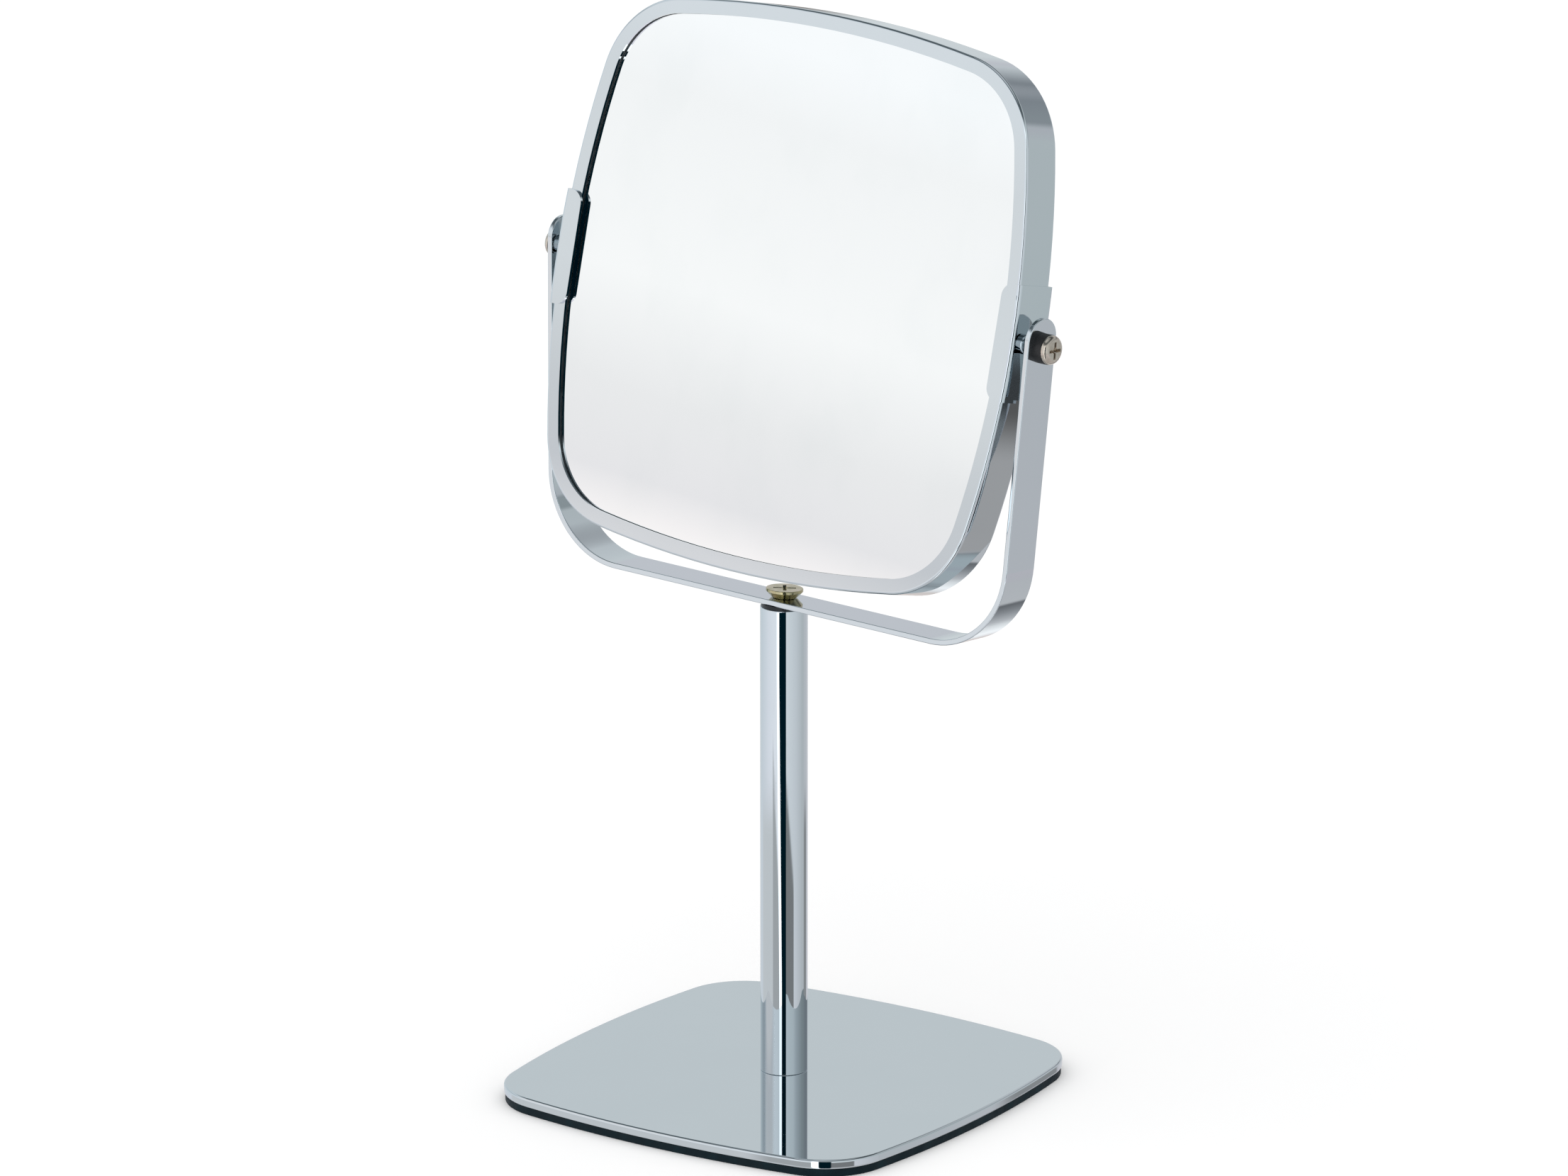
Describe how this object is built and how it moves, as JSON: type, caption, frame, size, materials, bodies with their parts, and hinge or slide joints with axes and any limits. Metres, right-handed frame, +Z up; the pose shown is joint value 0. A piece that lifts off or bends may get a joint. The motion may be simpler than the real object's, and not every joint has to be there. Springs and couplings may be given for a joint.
{
  "type": "table-top shaving mirror",
  "caption": "Two-sided rounded-square shaving mirror that tilts in a U-shaped strip yoke, which swivels on a slim tube post over a bowed square base.",
  "frame": {"origin": "centre of the base pad's flat underside, on the post's axis", "axes": "+Z up along the post, -Y towards the user, +X to the user's right"},
  "size_m": [0.2036, 0.147, 0.3458],
  "materials": {
    "chrome": "polished chrome plate on steel",
    "mirror": "silvered glass",
    "pad_rubber": "black foam rubber, satin",
    "washer_rubber": "black rubber, satin",
    "seat_nylon": "black nylon",
    "gasket_black": "black soft vinyl",
    "yellow_zinc": "steel, yellow zinc plate",
    "nickel": "steel, bright nickel plate",
    "plain_steel": "steel, zinc plate",
    "grey_board": "grey pulp board",
    "foam": "dark foam"
  },
  "bodies": {
    "base": {"base_pad": "pad_rubber", "base_plate": "chrome", "base_washer": "plain_steel", "base_screw": "plain_steel", "post_tube": "chrome", "post_lower_plug": "plain_steel", "post_upper_plug": "plain_steel", "swivel_seat": "seat_nylon", "swivel_screw": "yellow_zinc"},
    "yoke": {"yoke_strip": "chrome", "friction_washer_left": "washer_rubber", "friction_washer_right": "washer_rubber"},
    "head": {"frame_upper": "chrome", "frame_lower": "chrome", "front_gasket": "gasket_black", "rear_gasket": "gasket_black", "front_glass": "mirror", "rear_glass": "mirror", "core_board": "grey_board", "foam_pads": "foam", "side_clip_left": "chrome", "side_clip_right": "chrome", "joint_plate_left": "plain_steel", "joint_plate_right": "plain_steel", "pivot_spacer_left": "plain_steel", "pivot_spacer_right": "plain_steel", "pivot_screws": "nickel"}
  },
  "joints": [
    {"name": "yoke_swivel", "type": "hinge", "parent": "base", "child": "yoke", "pos_m": [0, 0, 0.1598], "axis": [0.0069, 0.0677, 0.9977], "continuous": true},
    {"name": "head_tilt", "type": "hinge", "parent": "yoke", "child": "head", "pos_m": [0.00068, 0.00669, 0.25837], "axis": [0.9949, -0.1011, 0], "continuous": true}
  ]
}
